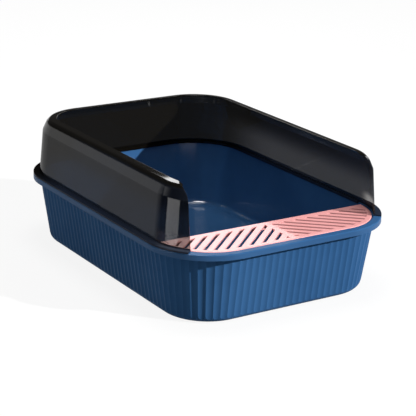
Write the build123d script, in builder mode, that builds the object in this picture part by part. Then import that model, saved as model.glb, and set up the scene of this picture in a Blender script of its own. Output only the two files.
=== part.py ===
from build123d import *
import os
from math import atan2, cos, hypot, pi, radians, sin, tan

os.makedirs("parts", exist_ok=True)

# Open-top litter box, in millimetres.
# X runs along the front, Y from the doorway to the back, Z up.
# The origin is the middle of the tray's underside.

# the whole box
box_width = 400.0
box_length = 556.0
rim_height = 116.0
rim_corner_radius = 102.0
cut_overrun = 5.0
turn = 360.0

# tray: drafted wall and floor
wall_thickness = 2.6
wall_inset_top = 10.5
wall_inset_base = 27.5
base_edge_radius = 14.0
floor_thickness = 3.0
floor_edge_radius = 12.0

# tray: hollow flutes round the wall, with a narrow flat land between them
flute_pitch = 11.75
flute_depth = 1.0
flute_land_depth = 0.12

# tray: flat rim with a skirt that hangs from its outer edge
rim_thickness = 2.6
rim_skirt_height = 9.0
rim_skirt_thickness = 2.4
rim_edge_radius = 2.0
rim_inner_edge_radius = 1.0

# tray: shelf round the front that carries the footboard
shelf_width = 9.0
shelf_thickness = 2.6

# footboard: slotted plate that lies in the mouth of the tray, flush with the rim
# its side gap is room to tip it up between the guard's walls
board_thickness = 2.4
board_reach = 98.0
board_clearance = 1.0
board_side_gap = 3.0
board_edge_radius = 1.6
board_lip_depth = 9.0
board_lip_thickness = 2.4
board_lip_end_gap = 3.0

# footboard: slanted drain slots, mirrored about the middle
slot_width = 5.6
slot_pitch = 21.6
slot_angle = 42.3
slot_lead = 2.6
slot_side_margin = 8.5
slot_rear_margin = 11.5
slot_middle_land = 10.4

# guard: thin see-through wall that stands on the rim and leaves the front open
guard_thickness = 2.2
guard_flange_thickness = 2.4
guard_flange_edge_radius = 1.0
guard_foot_inset = 10.4
guard_crease_inset = 16.4
guard_crease_height = 72.7
guard_shoulder_inset = 22.8
guard_shoulder_height = 86.3
guard_top_inset = 28.0
guard_top_height = 91.0
guard_lip_inset = 40.0
guard_lip_height = 92.2
guard_crease_radius = 2.5
guard_shoulder_radius = 5.0
guard_lip_edge_radius = 0.9
guard_end_angle = 42.5
guard_end_slant = 5.0
guard_end_radius = 26.0
guard_lip_end_start = 14.0
guard_lip_end_length = 44.0
guard_lip_end_steps = 8

# guard: rib along the inside of its foot that drops into the rim and keeps the guard in place
rib_drop = 2.5
rib_thickness = 2.0
rib_clearance = 0.6
rib_edge_radius = 0.6
rib_board_gap = 10.0

# levels and slopes that follow from the sizes above
rim_underside = rim_height - rim_thickness
wall_slope = (wall_inset_base - wall_inset_top) / rim_underside
floor_level = floor_thickness
mouth_inset = wall_inset_top + wall_thickness - wall_slope * rim_thickness
board_inset = mouth_inset + board_clearance
board_underside = rim_height - board_thickness
board_rear = board_reach - box_length / 2
straight_width = box_width - 2 * rim_corner_radius
straight_length = box_length - 2 * rim_corner_radius


def wall_inset_at(level):
    # distance of the wall's outer face from the rim's outer edge, at a height
    return wall_inset_base - wall_slope * level


def flute_points(inset, front_count, side_count, corner_count):
    # edges of the flutes on a rounded rectangle, anticlockwise from the back right corner
    radius = rim_corner_radius - inset
    half_width = straight_width / 2
    half_length = straight_length / 2
    corners = (
        (half_width, half_length, 0, front_count),
        (-half_width, half_length, 1, side_count),
        (-half_width, -half_length, 2, front_count),
        (half_width, -half_length, 3, side_count),
    )
    points = []
    for index in range(len(corners)):
        x, y, quarter, straight_count = corners[index]
        next_x, next_y = corners[(index + 1) % len(corners)][:2]
        for step in range(corner_count):
            angle = (quarter + step / corner_count) * pi / 2
            points.append((x + radius * cos(angle), y + radius * sin(angle)))
        angle = (quarter + 1) * pi / 2
        for step in range(straight_count):
            share = step / straight_count
            along_x = x + (next_x - x) * share
            along_y = y + (next_y - y) * share
            points.append((along_x + radius * cos(angle), along_y + radius * sin(angle)))
    return points


def flute_arcs(inset, front_count, side_count, corner_count):
    # one hollow arc for each flute, as start, deepest and end point
    points = flute_points(inset, front_count, side_count, corner_count)
    arcs = []
    for index in range(len(points)):
        start = points[index]
        end = points[(index + 1) % len(points)]
        run_x = end[0] - start[0]
        run_y = end[1] - start[1]
        chord = hypot(run_x, run_y)
        deep_x = (start[0] + end[0]) / 2 - run_y / chord * (flute_depth + flute_land_depth)
        deep_y = (start[1] + end[1]) / 2 + run_x / chord * (flute_depth + flute_land_depth)
        arcs.append((start, (deep_x, deep_y), end))
    return arcs


flute_front_count = max(1, round(straight_width / flute_pitch))
flute_side_count = max(1, round(straight_length / flute_pitch))
flute_corner_length = (rim_corner_radius - wall_inset_at(rim_height / 2)) * pi / 2
flute_corner_count = max(1, round(flute_corner_length / flute_pitch))


# fluted form: hollow arcs all round, drafted with the wall
with BuildPart() as flute_form:
    for level in (-cut_overrun, rim_underside + cut_overrun):
        with BuildSketch(Plane.XY.offset(level)):
            with BuildLine():
                for start, deep, end in flute_arcs(
                    wall_inset_at(level) - flute_land_depth,
                    flute_front_count,
                    flute_side_count,
                    flute_corner_count,
                ):
                    ThreePointArc(start, deep, end)
            make_face()
    loft(ruled=True)

# wall form: drafted block with a rounded base edge, cut down to the flutes
with BuildPart() as wall_form:
    for level in (0, rim_underside):
        with BuildSketch(Plane.XY.offset(level)):
            RectangleRounded(
                box_width - 2 * wall_inset_at(level),
                box_length - 2 * wall_inset_at(level),
                rim_corner_radius - wall_inset_at(level),
            )
    loft(ruled=True)
    fillet(wall_form.faces().sort_by(Axis.Z)[0].edges(), base_edge_radius)
    add(flute_form.part, mode=Mode.INTERSECT)

# hollow form: the inside of the tray, up through the rim
with BuildPart() as hollow_form:
    for level in (floor_level, rim_height + cut_overrun):
        with BuildSketch(Plane.XY.offset(level)):
            RectangleRounded(
                box_width - 2 * (wall_inset_at(level) + wall_thickness),
                box_length - 2 * (wall_inset_at(level) + wall_thickness),
                rim_corner_radius - wall_inset_at(level) - wall_thickness,
            )
    loft(ruled=True)
    fillet(hollow_form.faces().sort_by(Axis.Z)[0].edges(), floor_edge_radius)

# shelf form: a ledge round the front of the mouth, sunk into the wall behind it
shelf_inset = wall_inset_at(board_underside) + wall_thickness
shelf_root_inset = shelf_inset - wall_thickness / 2
with BuildPart() as shelf_form:
    with BuildSketch(Plane.XY.offset(board_underside)):
        RectangleRounded(
            box_width - 2 * shelf_root_inset,
            box_length - 2 * shelf_root_inset,
            rim_corner_radius - shelf_root_inset,
        )
        RectangleRounded(
            box_width - 2 * (shelf_inset + shelf_width),
            box_length - 2 * (shelf_inset + shelf_width),
            rim_corner_radius - shelf_inset - shelf_width,
            mode=Mode.SUBTRACT,
        )
        with Locations((0, board_rear + box_length / 2)):
            Rectangle(box_width, box_length, mode=Mode.SUBTRACT)
    extrude(amount=-shelf_thickness)

# tray: rim and skirt, fluted wall, hollow and shelf in one moulding
with BuildPart() as tray:
    with BuildSketch(Plane.XY.offset(rim_height - rim_skirt_height)):
        RectangleRounded(box_width, box_length, rim_corner_radius)
    extrude(amount=rim_skirt_height)
    fillet(tray.faces().sort_by(Axis.Z)[-1].edges(), rim_edge_radius)
    with BuildSketch(Plane.XY.offset(rim_height - rim_skirt_height)):
        RectangleRounded(
            box_width - 2 * rim_skirt_thickness,
            box_length - 2 * rim_skirt_thickness,
            rim_corner_radius - rim_skirt_thickness,
        )
    extrude(amount=rim_skirt_height - rim_thickness, mode=Mode.SUBTRACT)
    add(wall_form.part)
    add(hollow_form.part, mode=Mode.SUBTRACT)
    rim_face = tray.faces().filter_by(Plane.XY).sort_by(Axis.Z)[-1]
    fillet(rim_face.inner_wires()[0].edges(), rim_inner_edge_radius)
    add(shelf_form.part)

tray.part.label = "tray"
export_step(tray.part, "parts/tray.step")

# slot form: slanted bars inside the margins of the left half, then mirrored
slot_edge_inset = board_inset + slot_side_margin
slot_rear = board_rear - slot_rear_margin
slot_count_left = int((box_width / 2) // slot_pitch) + 1
slot_count_right = int(board_reach / tan(radians(slot_angle)) // slot_pitch) + 1
slot_length = 2 * board_reach / sin(radians(slot_angle))
slot_depth = board_thickness + 2 * cut_overrun
with BuildPart() as slot_form:
    with BuildSketch(Plane.XY.offset(board_underside - cut_overrun)):
        with Locations(
            *[
                (-slot_lead + index * slot_pitch, slot_rear)
                for index in range(-slot_count_left, slot_count_right + 1)
            ]
        ):
            Rectangle(slot_length, slot_width, rotation=slot_angle)
    extrude(amount=slot_depth)
    with BuildSketch(Plane.XY.offset(board_underside - cut_overrun)):
        RectangleRounded(
            box_width - 2 * slot_edge_inset,
            box_length - 2 * slot_edge_inset,
            rim_corner_radius - slot_edge_inset,
        )
        with Locations((0, slot_rear + box_length / 2)):
            Rectangle(box_width, box_length, mode=Mode.SUBTRACT)
        with Locations((box_width / 2 - slot_middle_land / 2, 0)):
            Rectangle(box_width, box_length, mode=Mode.SUBTRACT)
    extrude(amount=slot_depth, mode=Mode.INTERSECT)
    mirror(about=Plane.YZ)

# footboard: front end of the mouth's outline, with a stiffening lip under its rear edge
board_lip_length = box_width - 2 * (shelf_inset + shelf_width + board_lip_end_gap)
with BuildPart() as footboard:
    with BuildSketch(Plane.XY.offset(board_underside)):
        RectangleRounded(
            box_width - 2 * (board_inset + board_side_gap),
            box_length - 2 * board_inset,
            rim_corner_radius - board_inset - board_side_gap,
        )
        with Locations((0, board_rear + box_length / 2)):
            Rectangle(box_width, box_length, mode=Mode.SUBTRACT)
    extrude(amount=board_thickness)
    fillet(footboard.faces().sort_by(Axis.Z)[-1].edges(), board_edge_radius)
    with BuildSketch(Plane.XY.offset(board_underside)):
        with Locations((0, board_rear - board_lip_thickness / 2)):
            Rectangle(board_lip_length, board_lip_thickness)
    extrude(amount=-board_lip_depth)
    add(slot_form.part, mode=Mode.SUBTRACT)

footboard.part.label = "footboard"
export_step(footboard.part, "parts/footboard.step")

# guard: outer line of the cross-section, as run outward from the foot and height above the rim
guard_outer = (
    (0, guard_flange_thickness),
    (guard_foot_inset - guard_crease_inset, guard_crease_height),
    (guard_foot_inset - guard_shoulder_inset, guard_shoulder_height),
    (guard_foot_inset - guard_top_inset, guard_top_height),
    (guard_foot_inset - guard_lip_inset, guard_lip_height),
)


def inner_line(points, thickness):
    # the same line, moved inward by the wall's thickness
    moved = []
    for index in range(len(points)):
        before = points[max(0, index - 1)]
        here = points[index]
        after = points[min(len(points) - 1, index + 1)]
        if index == 0:
            before = (2 * here[0] - after[0], 2 * here[1] - after[1])
        if index == len(points) - 1:
            after = (2 * here[0] - before[0], 2 * here[1] - before[1])
        angle_in = atan2(here[1] - before[1], here[0] - before[0])
        angle_out = atan2(after[1] - here[1], after[0] - here[0])
        middle = (angle_in + angle_out) / 2
        reach = thickness / cos((angle_out - angle_in) / 2)
        moved.append((here[0] - reach * sin(middle), here[1] + reach * cos(middle)))
    return moved


guard_inner = inner_line(guard_outer, guard_thickness)
guard_foot_slope = (guard_inner[1][0] - guard_inner[0][0]) / (guard_inner[1][1] - guard_inner[0][1])
guard_inner_foot = guard_inner[0][0] - guard_foot_slope * guard_inner[0][1]

# guard: path of the foot round the left, back and right, from mid-corner to mid-corner
path_radius = rim_corner_radius - guard_foot_inset
path_side = box_width / 2 - guard_foot_inset
path_back = box_length / 2 - guard_foot_inset
corner_x = straight_width / 2
corner_y = straight_length / 2
quarter_turn = turn / 4
half_turn = turn / 2
end_angle = half_turn + guard_end_angle
with BuildLine(Plane.XY.offset(rim_height)) as guard_path:
    CenterArc((-corner_x, -corner_y), path_radius, end_angle, -guard_end_angle)
    Line((-path_side, -corner_y), (-path_side, corner_y))
    CenterArc((-corner_x, corner_y), path_radius, half_turn, -quarter_turn)
    Line((-corner_x, path_back), (corner_x, path_back))
    CenterArc((corner_x, corner_y), path_radius, quarter_turn, -quarter_turn)
    Line((path_side, corner_y), (path_side, -corner_y))
    CenterArc((corner_x, -corner_y), path_radius, 0, -guard_end_angle)

end_outward = Vector(cos(radians(end_angle)), sin(radians(end_angle)), 0)
end_along = Vector(sin(radians(end_angle)), -cos(radians(end_angle)), 0)
end_point = Vector(-corner_x, -corner_y, rim_height) + end_outward * path_radius

# end form: what slants the guard's two free ends and rounds off their upper corner
guard_reach = guard_lip_inset + guard_foot_inset
guard_end_run = guard_lip_height * tan(radians(guard_end_slant))
guard_end_top = guard_end_run + 2 * guard_end_radius
guard_end_over = guard_lip_height + cut_overrun
with BuildPart() as guard_end_form:
    with BuildSketch(Plane(end_point, x_dir=end_along, z_dir=-end_outward)):
        with BuildLine():
            FilletPolyline(
                (0, 0),
                (guard_end_run, guard_lip_height),
                (guard_end_top, guard_lip_height),
                radius=guard_end_radius,
            )
            Polyline(
                (guard_end_top, guard_lip_height),
                (guard_end_top, guard_end_over),
                (-cut_overrun, guard_end_over),
                (-cut_overrun, 0),
                (0, 0),
            )
        make_face()
    extrude(amount=guard_reach, both=True)
    mirror(about=Plane.YZ)


def guard_place(run, inset):
    # a point of the front left corner, by its run along the foot from the free end and its inset
    angle = radians(end_angle) - run / path_radius
    reach = rim_corner_radius - inset
    return (-corner_x + reach * cos(angle), -corner_y + reach * sin(angle))


# lip form: what lets the lip run out in a round towards the free ends, seen from above
lip_round_inset = guard_top_inset + guard_thickness
lip_round_depth = guard_lip_inset - lip_round_inset
lip_round_run = guard_end_run + guard_lip_end_start + guard_lip_end_length
lip_round = []
for step in range(guard_lip_end_steps + 1):
    sweep_angle = step / guard_lip_end_steps * pi / 2
    run = lip_round_run - guard_lip_end_length * cos(sweep_angle)
    lip_round.append(guard_place(run, lip_round_inset + lip_round_depth * sin(sweep_angle)))
with BuildPart() as lip_form:
    with BuildSketch(Plane.XY.offset(rim_height + guard_crease_height)):
        with BuildLine():
            Spline(*lip_round)
            Polyline(
                lip_round[-1],
                guard_place(lip_round_run, guard_lip_inset + cut_overrun),
                guard_place(-cut_overrun, guard_lip_inset + cut_overrun),
                guard_place(-cut_overrun, lip_round_inset),
                lip_round[0],
            )
        make_face()
    extrude(amount=guard_lip_height - guard_crease_height + cut_overrun)
    mirror(about=Plane.YZ)

# rib form: ledge and rib along the inside of the foot, from behind the footboard round the back
rib_inset = mouth_inset + wall_slope * rib_drop + rib_clearance
rib_outer = guard_foot_inset - rib_inset
rib_inner = rib_outer - rib_thickness
rib_front = board_rear + rib_board_gap
with BuildLine(Plane.XY.offset(rim_height)) as rib_path:
    Line((-path_side, rib_front), (-path_side, corner_y))
    CenterArc((-corner_x, corner_y), path_radius, half_turn, -quarter_turn)
    Line((-corner_x, path_back), (corner_x, path_back))
    CenterArc((corner_x, corner_y), path_radius, quarter_turn, -quarter_turn)
    Line((path_side, corner_y), (path_side, rib_front))
rib_start = Vector(-path_side, rib_front, rim_height)
with BuildPart() as rib_form:
    with BuildSketch(Plane(rib_start, x_dir=Vector(-1, 0, 0), z_dir=Vector(0, 1, 0))) as rib_section:
        with BuildLine():
            Polyline(
                (-guard_thickness / 2, 0),
                (-guard_thickness / 2, guard_flange_thickness),
                (rib_inner, guard_flange_thickness),
                (rib_inner, -rib_drop),
                (rib_outer, -rib_drop),
                (rib_outer, 0),
                close=True,
            )
        make_face()
        for corner in (
            (rib_inner, guard_flange_thickness),
            (rib_inner, -rib_drop),
            (rib_outer, -rib_drop),
        ):
            fillet(rib_section.vertices().sort_by_distance(corner)[0], rib_edge_radius)
    sweep(path=rib_path.wires()[0])

# guard: the cross-section swept along the path, with slanted ends, run-out lip and rib
with BuildPart() as guard:
    with BuildSketch(Plane(end_point, x_dir=end_outward, z_dir=end_along)) as guard_section:
        with BuildLine():
            Polyline(
                (guard_foot_inset, 0),
                (guard_foot_inset, guard_flange_thickness),
                *guard_outer,
                *reversed(guard_inner[1:]),
                (guard_inner_foot, 0),
                close=True,
            )
        make_face()
        crease_outer = guard_section.vertices().sort_by_distance(guard_outer[1])[0]
        crease_inner = guard_section.vertices().sort_by_distance(guard_inner[1])[0]
        fillet(crease_outer, guard_crease_radius + guard_thickness)
        fillet(crease_inner, guard_crease_radius)
        for outer_point, inner_point in zip(guard_outer[2:-1], guard_inner[2:-1]):
            bend_outer = guard_section.vertices().sort_by_distance(outer_point)[0]
            fillet(bend_outer, guard_shoulder_radius + guard_thickness)
            bend_inner = guard_section.vertices().sort_by_distance(inner_point)[0]
            fillet(bend_inner, guard_shoulder_radius)
        lip_outer = guard_section.vertices().sort_by_distance(guard_outer[-1])[0]
        lip_inner = guard_section.vertices().sort_by_distance(guard_inner[-1])[0]
        fillet([lip_outer, lip_inner], guard_lip_edge_radius)
        flange_corner = (guard_foot_inset, guard_flange_thickness)
        flange_edge = guard_section.vertices().sort_by_distance(flange_corner)[0]
        fillet(flange_edge, guard_flange_edge_radius)
    sweep(path=guard_path.wires()[0])
    add(guard_end_form.part, mode=Mode.SUBTRACT)
    add(lip_form.part, mode=Mode.SUBTRACT)
    add(rib_form.part)

guard.part.label = "guard"
export_step(guard.part, "parts/guard.step")
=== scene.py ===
import math

import bpy
from mathutils import Matrix, Vector

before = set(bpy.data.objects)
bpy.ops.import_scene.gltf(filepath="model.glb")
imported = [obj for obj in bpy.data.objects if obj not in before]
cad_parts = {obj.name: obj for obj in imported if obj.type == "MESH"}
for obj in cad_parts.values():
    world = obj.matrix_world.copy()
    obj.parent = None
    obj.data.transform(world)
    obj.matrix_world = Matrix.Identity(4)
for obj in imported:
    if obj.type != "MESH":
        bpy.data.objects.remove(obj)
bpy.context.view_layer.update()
scene = bpy.context.scene
print("frame loaded:", ", ".join(sorted(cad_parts)))


# a node's output that can stand in sums
class Wire:
    def __init__(self, finish, socket):
        self.finish = finish
        self.socket = socket

    def sum(self, operation, first, second):
        return self.finish.node("ShaderNodeMath", {"operation": operation}, {0: first, 1: second})

    def __add__(self, other):
        return self.sum("ADD", self, other)

    def __radd__(self, other):
        return self.sum("ADD", other, self)

    def __sub__(self, other):
        return self.sum("SUBTRACT", self, other)

    def __rsub__(self, other):
        return self.sum("SUBTRACT", other, self)

    def __mul__(self, other):
        return self.sum("MULTIPLY", self, other)

    def __rmul__(self, other):
        return self.sum("MULTIPLY", other, self)

    def __lt__(self, other):
        return self.sum("LESS_THAN", self, other)

    def __gt__(self, other):
        return self.sum("GREATER_THAN", self, other)

    def __or__(self, other):
        return self.sum("MAXIMUM", self, other)

    def __and__(self, other):
        return self.sum("MINIMUM", self, other)


# one material, or the world, and the nodes in it
class Finish:
    def __init__(self, owner):
        owner.use_nodes = True
        self.owner = owner
        self.tree = owner.node_tree
        self.tree.nodes.clear()

    def node(self, kind, settings=None, sockets=None, out=0):
        made = self.tree.nodes.new(kind)
        for key, value in (settings or {}).items():
            setattr(made, key, value)
        for key, value in (sockets or {}).items():
            if isinstance(value, Wire):
                self.tree.links.new(value.socket, made.inputs[key])
            else:
                made.inputs[key].default_value = value
        return Wire(self, made.outputs[out]) if len(made.outputs) else None

    def spot(self):
        return self.node("ShaderNodeTexCoord", out="Object")

    def facing(self):
        return self.node("ShaderNodeTexCoord", out="Normal")

    def split(self, vector):
        return [self.node("ShaderNodeSeparateXYZ", None, {0: vector}, axis) for axis in "XYZ"]

    def noise(self, vector, scale, detail=3.0, roughness=0.55):
        return self.node("ShaderNodeTexNoise", None, {
            "Vector": vector, "Scale": scale, "Detail": detail, "Roughness": roughness})

    def sway(self, noise, spread):
        return (noise - 0.5) * spread  # noise lies round 0.5

    def stretch(self, vector, scale):
        return self.node("ShaderNodeVectorMath", {"operation": "MULTIPLY"}, {0: vector, 1: scale})

    def smooth(self, value, low, high):
        return self.node("ShaderNodeMapRange", {"interpolation_type": "SMOOTHSTEP"}, {
            "Value": value, "From Min": low, "From Max": high})

    def fade(self, value, span):
        return 1 - self.smooth(value, span[1], span[0])

    def blend(self, factor, first, second):
        return self.node("ShaderNodeMix", {"data_type": "RGBA"}, {0: factor, 6: first, 7: second}, 2)

    def bump(self, height):
        return self.node("ShaderNodeBump", None, {"Height": height, "Distance": 1.0, "Strength": 1.0})

    def either(self, factor, first, second):
        return self.node("ShaderNodeMixShader", None, {0: factor, 1: first, 2: second})

    def plainSight(self):
        rays = ("Is Camera Ray", "Is Glossy Ray", "Is Transmission Ray")
        camera, glossy, through = [self.node("ShaderNodeLightPath", out=ray) for ray in rays]
        return camera | glossy | through

    def show(self, shader, kind="ShaderNodeOutputMaterial"):
        self.node(kind, None, {"Surface": shader})


def dress(node, finish):
    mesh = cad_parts[node].data
    mesh.materials.clear()
    mesh.materials.append(finish.owner)
    print(node, "dressed")


# tray: matte blue outside, polished inside
trayLook = {
    "blue": (0.036, 0.114, 0.262, 1.0),
    "blueDeep": (0.030, 0.100, 0.238, 1.0),
    "flowScale": 9.0,
    "flowSpan": (0.35, 0.65),
    "rough": 0.50,
    "roughSpread": 0.10,
    "grainScale": 950.0,
    "grainDetail": 2.0,
    "grainHeight": 0.000015,
    "floorFacing": 0.6,  # how far up a face looks where it is the tray's floor
    "floorBelow": 0.1,
    "insideFacing": -0.01,
    "polish": 0.8,
    "polishRough": 0.14,
    "rimPolish": 0.20,
    "rimFrom": 0.1055,
    "scuffScale": (60.0, 900.0, 60.0),  # scoop marks on the floor
    "scuffSpan": (0.58, 0.72),
    "scuffLoss": 0.5,
    "specular": 0.02,
    "ior": 1.5,
}


def bluePlastic(look):
    f = Finish(bpy.data.materials.new("tray blue"))
    spot = f.spot()
    x, y, z = f.split(spot)
    nx, ny, nz = f.split(f.facing())
    bottom = (nz > look["floorFacing"]) & (z < look["floorBelow"])
    inside = ((x * nx + y * ny) < look["insideFacing"]) | bottom
    flow = f.noise(spot, look["flowScale"])
    grain = f.noise(spot, look["grainScale"], look["grainDetail"]) * look["grainHeight"]
    scuff = f.smooth(f.noise(f.stretch(spot, look["scuffScale"]), 1.0), *look["scuffSpan"])
    polish = inside * look["polish"] * (1 - bottom * scuff * look["scuffLoss"])
    f.show(f.node("ShaderNodeBsdfPrincipled", None, {
        "Base Color": f.blend(f.smooth(flow, *look["flowSpan"]), look["blue"], look["blueDeep"]),
        "Roughness": look["rough"] + f.sway(flow, look["roughSpread"]),
        "IOR": look["ior"],
        "Specular IOR Level": look["specular"],
        "Coat Weight": polish | (z > look["rimFrom"]) * look["rimPolish"],
        "Coat Roughness": look["polishRough"],
        "Normal": f.bump(grain * (1 - inside)),
    }))
    return f


dress("tray", bluePlastic(trayLook))


# footboard: pale pink, with a soft sheen
boardLook = {
    "pink": (0.97, 0.440, 0.432, 1.0),
    "pinkDeep": (0.95, 0.415, 0.407, 1.0),
    "flowScale": 14.0,
    "flowSpan": (0.35, 0.65),
    "rough": 0.38,
    "roughSpread": 0.08,
    "sheen": 0.6,
    "sheenRough": 0.09,
    "grainScale": 1100.0,
    "grainDetail": 2.0,
    "grainHeight": 0.00001,
    "ior": 1.5,
}


def pinkPlastic(look):
    f = Finish(bpy.data.materials.new("footboard pink"))
    spot = f.spot()
    flow = f.noise(spot, look["flowScale"])
    grain = f.noise(spot, look["grainScale"], look["grainDetail"]) * look["grainHeight"]
    f.show(f.node("ShaderNodeBsdfPrincipled", None, {
        "Base Color": f.blend(f.smooth(flow, *look["flowSpan"]), look["pink"], look["pinkDeep"]),
        "Roughness": look["rough"] + f.sway(flow, look["roughSpread"]),
        "IOR": look["ior"],
        "Coat Weight": look["sheen"],
        "Coat Roughness": look["sheenRough"],
        "Normal": f.bump(grain),
    }))
    return f


dress("footboard", pinkPlastic(boardLook))


# guard: polished smoke plastic, deepest at the back, the lip and the foot, clearest low on its free ends;
# the darker back and top and the lighter, bluer sides are painted shade and painted light, and the amber
# low on the free ends is a painted tint for the board seen through them
guardLook = {
    # painted light and shade: a lit, bluer tone on the sides and a shaded, near-black warm tone at the
    # back, the top and the lip
    "smokeLit": (0.020, 0.028, 0.048, 1.0),
    "smokeShaded": (0.0050, 0.0042, 0.0030, 1.0),
    # painted tint: amber that stands in for the pink board seen through the clear free ends
    "smokeSeenThrough": (0.070, 0.042, 0.020, 1.0),
    "flowScale": 5.0,
    "flowSpread": 0.4,
    "topShadeShare": 0.55,  # share of the lit tone lost towards the top, as painted shade
    "litSpan": (0.1, 0.9),
    # density painted as shade: deepest at the back and towards the top, clearest low on the free ends
    "alphaShadedBack": 0.93,
    "alphaSides": 0.82,
    "alphaShadedTop": 0.93,
    "alphaEnds": 0.54,
    "alphaEdges": 0.97,
    "sidesAt": (0.26, 0.06),
    "topAt": (0.145, 0.185),
    "endsAt": (-0.172, -0.196),
    "endsTop": (0.142, 0.131),
    "shoulderAt": (0.1870, 0.1895),
    "lipAt": (0.2015, 0.2045),
    "footAt": 0.1195,
    "rough": 0.045,
    "roughSpread": 0.03,
    "smearScale": 30.0,
    "smearDetail": 4.0,
    "smearLoss": 0.12,
    "polish": 0.36,
    "polishShoulder": 0.62,
    "polishLip": 1.0,
    "polishFoot": 0.22,
    "polishRough": 0.03,
    "specular": 0.0,
    "ior": 1.5,
}


def smokePlastic(look):
    f = Finish(bpy.data.materials.new("guard smoke"))
    spot = f.spot()
    y, z = f.split(spot)[1:]
    flow = f.noise(spot, look["flowScale"])
    smear = f.noise(spot, look["smearScale"], look["smearDetail"])
    sides = f.fade(y, look["sidesAt"])
    lip = f.smooth(z, *look["lipAt"])
    foot = z < look["footAt"]
    ends = f.fade(y, look["endsAt"]) * f.fade(z, look["endsTop"]) * (1 - foot)
    top = f.smooth(z, *look["topAt"])
    # painted shade: the density rises at the back and towards the top
    clear = look["alphaSides"] + top * (look["alphaShadedTop"] - look["alphaSides"])
    alpha = look["alphaShadedBack"] + sides * (clear - look["alphaShadedBack"])
    alpha = alpha + ends * (look["alphaEnds"] - look["alphaSides"])
    # painted light on the sides and painted shade at the back, the top and the lip
    litShare = sides - top * look["topShadeShare"] + f.sway(flow, look["flowSpread"])
    litShare = f.smooth(litShare, *look["litSpan"]) * (1 - lip)
    smoke = f.blend(litShare, look["smokeShaded"], look["smokeLit"])
    polish = look["polish"] + f.smooth(z, *look["shoulderAt"]) * (look["polishShoulder"] - look["polish"])
    polish = polish + lip * (look["polishLip"] - look["polishShoulder"])
    polish = polish + foot * (look["polishFoot"] - look["polish"])
    f.show(f.node("ShaderNodeBsdfPrincipled", None, {
        # the free ends take the painted see-through tint
        "Base Color": f.blend(ends, smoke, look["smokeSeenThrough"]),
        "Roughness": look["rough"] + f.sway(smear, look["roughSpread"]),
        "IOR": look["ior"],
        "Specular IOR Level": look["specular"],
        "Alpha": alpha | (lip | foot) * look["alphaEdges"],
        "Coat Weight": polish * (1 - f.sway(smear, look["smearLoss"])),
        "Coat Roughness": look["polishRough"],
    }))
    return f


dress("guard", smokePlastic(guardLook))


# floor: pale, and white to the eye apart from the shadow
floorLook = {
    "reach": 9.0,
    "drop": 0.0004,
    "seenTone": (0.92, 0.92, 0.92, 1.0),
    "litTone": (0.20, 0.20, 0.20, 1.0),  # what it throws back at the object
    "white": (1.0, 1.0, 1.0, 1.0),
    "whiteShare": 0.88,
}


def paleFloor(look):
    reach = look["reach"]
    corners = [(-reach, -reach, 0), (reach, -reach, 0), (reach, reach, 0), (-reach, reach, 0)]
    mesh = bpy.data.meshes.new("floor")
    mesh.from_pydata(corners, [], [(0, 1, 2, 3)])
    floor = bpy.data.objects.new("floor", mesh)
    floor.location.z = -look["drop"]
    scene.collection.objects.link(floor)
    f = Finish(bpy.data.materials.new("floor pale"))
    seen = f.either(
        look["whiteShare"],
        f.node("ShaderNodeBsdfDiffuse", None, {"Color": look["seenTone"]}),
        f.node("ShaderNodeEmission", None, {"Color": look["white"]}),
    )
    lit = f.node("ShaderNodeBsdfDiffuse", None, {"Color": look["litTone"]})
    f.show(f.either(f.plainSight(), lit, seen))
    mesh.materials.append(f.owner)
    print("floor laid")


paleFloor(floorLook)


# light: a low sun from the front right, a soft panel overhead and a pale room that is dark above
lightLook = {
    "sunFrom": (0.542, -0.707, 0.454),
    "sunPower": 4.3,
    "sunAngle": 1.0,
    "room": (1.0, 1.0, 1.0, 1.0),
    "roomLight": 0.20,
    "roomSeen": 1.0,
    "roomAbove": 0.045,  # what reflections find overhead
    "darkFrom": (0.02, 0.20),  # height of a reflection's direction
    "darkTilt": 0.35,  # the dark comes lower on the right
    "panels": {  # matte ones show in no reflection, mirrored ones only there
        "overhead panel": {
            "at": (0.0, 0.0, 2.1), "to": (0, 0, 0), "size": (0.8, 0.8), "power": 17.0,
        },
        "back panel": {
            "at": (0.80, 1.48, 1.19), "to": (-0.16, -0.19, 0.2), "size": (0.5, 0.34), "power": 2.4,
        },
        "low back panel": {
            "at": (1.23, 1.79, 0.89), "to": (-0.05, -0.22, 0.116), "size": (0.6, 0.36), "power": 1.75,
        },
        "left fill": {
            "at": (-1.8, -0.15, 0.35), "to": (-0.15, 0, 0.08), "size": (1.0, 0.6), "power": 2.8,
            "matte": True,
        },
        "left panel": {
            "at": (-0.72, -0.08, 0.10), "to": (-0.18, -0.08, 0.10), "size": (0.315, 0.20), "power": 0.95,
            "mirrored": True,
        },
        "glint panel": {
            "at": (-0.64, -0.43, 1.24), "to": (0.145, 0.23, 0.01), "size": (0.6, 0.5), "power": 28.0,
            "mirrored": True, "only": "tray",
        },
    },
    "flags": {  # dark boards that only reflections see, each with a soft share at its back end
        "left flag": {
            "from": (-0.400, 0.140), "to": (-0.545, -0.020), "heights": (0.0, 0.30), "soft": 0.5,
        },
        "front flag": {
            "from": (-0.577, -0.238), "to": (-0.520, -0.430), "heights": (0.0, 0.30), "soft": 0.01,
        },
        "upper flag": {
            "from": (-0.730, 0.300), "to": (-0.730, -0.600), "heights": (0.205, 0.90), "soft": 0.3,
        },
    },
    "dark": (0.004, 0.004, 0.005, 1.0),
}


def hang(name, kind, at, to):
    lamp = bpy.data.objects.new(name, bpy.data.lights.new(name, kind))
    scene.collection.objects.link(lamp)
    lamp.location = at
    lamp.rotation_euler = (Vector(to) - Vector(at)).to_track_quat("-Z", "Y").to_euler()
    return lamp


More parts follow.
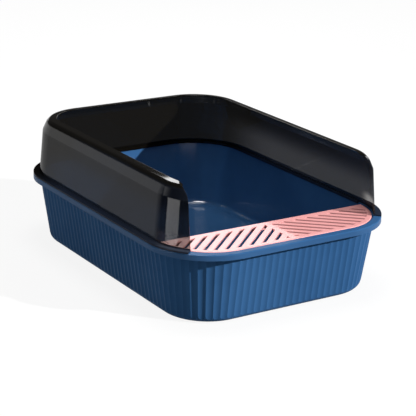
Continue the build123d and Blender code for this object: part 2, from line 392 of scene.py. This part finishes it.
def studio(look):
    sun = hang("low sun", "SUN", look["sunFrom"], (0, 0, 0))
    sun.data.energy = look["sunPower"]
    sun.data.angle = math.radians(look["sunAngle"])
    sun.visible_glossy = False

    for name, made in look["panels"].items():
        panel = hang(name, "AREA", made["at"], made["to"])
        panel.data.shape = "RECTANGLE"
        panel.data.size, panel.data.size_y = made["size"]
        panel.data.energy = made["power"]
        panel.visible_camera = False
        panel.visible_diffuse = not made.get("mirrored")
        panel.visible_glossy = not made.get("matte")
        if "only" in made:
            glinting = bpy.data.collections.new(name)
            glinting.objects.link(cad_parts[made["only"]])
            panel.light_linking.receiver_collection = glinting

    for name, made in look["flags"].items():
        start, end = made["from"], made["to"]
        low, high = made["heights"]
        corners = [(*start, low), (*end, low), (*end, high), (*start, high)]
        mesh = bpy.data.meshes.new(name)
        mesh.from_pydata(corners, [], [(0, 1, 2, 3)])
        flag = bpy.data.objects.new(name, mesh)
        scene.collection.objects.link(flag)
        f = Finish(bpy.data.materials.new(name))
        back = f.split(f.node("ShaderNodeTexCoord", out="Generated"))[1]
        f.show(f.either(
            f.smooth(back, 1 - made["soft"], 1),
            f.node("ShaderNodeBsdfDiffuse", None, {"Color": look["dark"]}),
            f.node("ShaderNodeBsdfTransparent"),
        ))
        mesh.materials.append(f.owner)
        flag.visible_camera = False
        flag.visible_diffuse = False
        flag.visible_shadow = False

    scene.world = bpy.data.worlds.new("pale room")
    f = Finish(scene.world)
    right, _, height = f.split(f.node("ShaderNodeTexCoord", out="Generated"))
    lit = f.node("ShaderNodeBackground", None, {"Color": look["room"], "Strength": look["roomLight"]})
    low = f.node("ShaderNodeBackground", None, {"Color": look["room"], "Strength": look["roomSeen"]})
    high = f.node("ShaderNodeBackground", None, {"Color": look["room"], "Strength": look["roomAbove"]})
    overhead = f.smooth(height + right * look["darkTilt"], *look["darkFrom"])
    overhead = overhead * (1 - f.node("ShaderNodeLightPath", out="Is Camera Ray"))
    seen = f.either(overhead, low, high)
    f.show(f.either(f.plainSight(), lit, seen), "ShaderNodeOutputWorld")
    scene.view_settings.view_transform = "Standard"
    print("light set")


studio(lightLook)


# camera: where the photograph was taken from
cameraLook = {
    "at": (-1.19669, -1.89879, 0.82690),
    "yaw": 32.53,
    "pitch": 18.26,
    "roll": 1.22,
    "focal": 1467.75,  # in pixels of the frame
    "framePixels": 416,
    "sensor": 36.0,
}


def takeView(look):
    yaw, pitch, roll = [math.radians(look[key]) for key in ("yaw", "pitch", "roll")]
    ahead = Vector((math.sin(yaw) * math.cos(pitch), math.cos(yaw) * math.cos(pitch), -math.sin(pitch)))
    right = Vector((math.cos(yaw), -math.sin(yaw), 0))
    up = right.cross(ahead)
    rightRolled = right * math.cos(roll) + up * math.sin(roll)
    upRolled = up * math.cos(roll) - right * math.sin(roll)
    data = bpy.data.cameras.new("camera")
    data.sensor_width = look["sensor"]
    data.lens = look["focal"] / look["framePixels"] * look["sensor"]
    camera = bpy.data.objects.new("camera", data)
    scene.collection.objects.link(camera)
    turn = Matrix((rightRolled, upRolled, -ahead)).transposed()
    camera.matrix_world = Matrix.Translation(look["at"]) @ turn.to_4x4()
    scene.camera = camera
    print("camera set")


takeView(cameraLook)
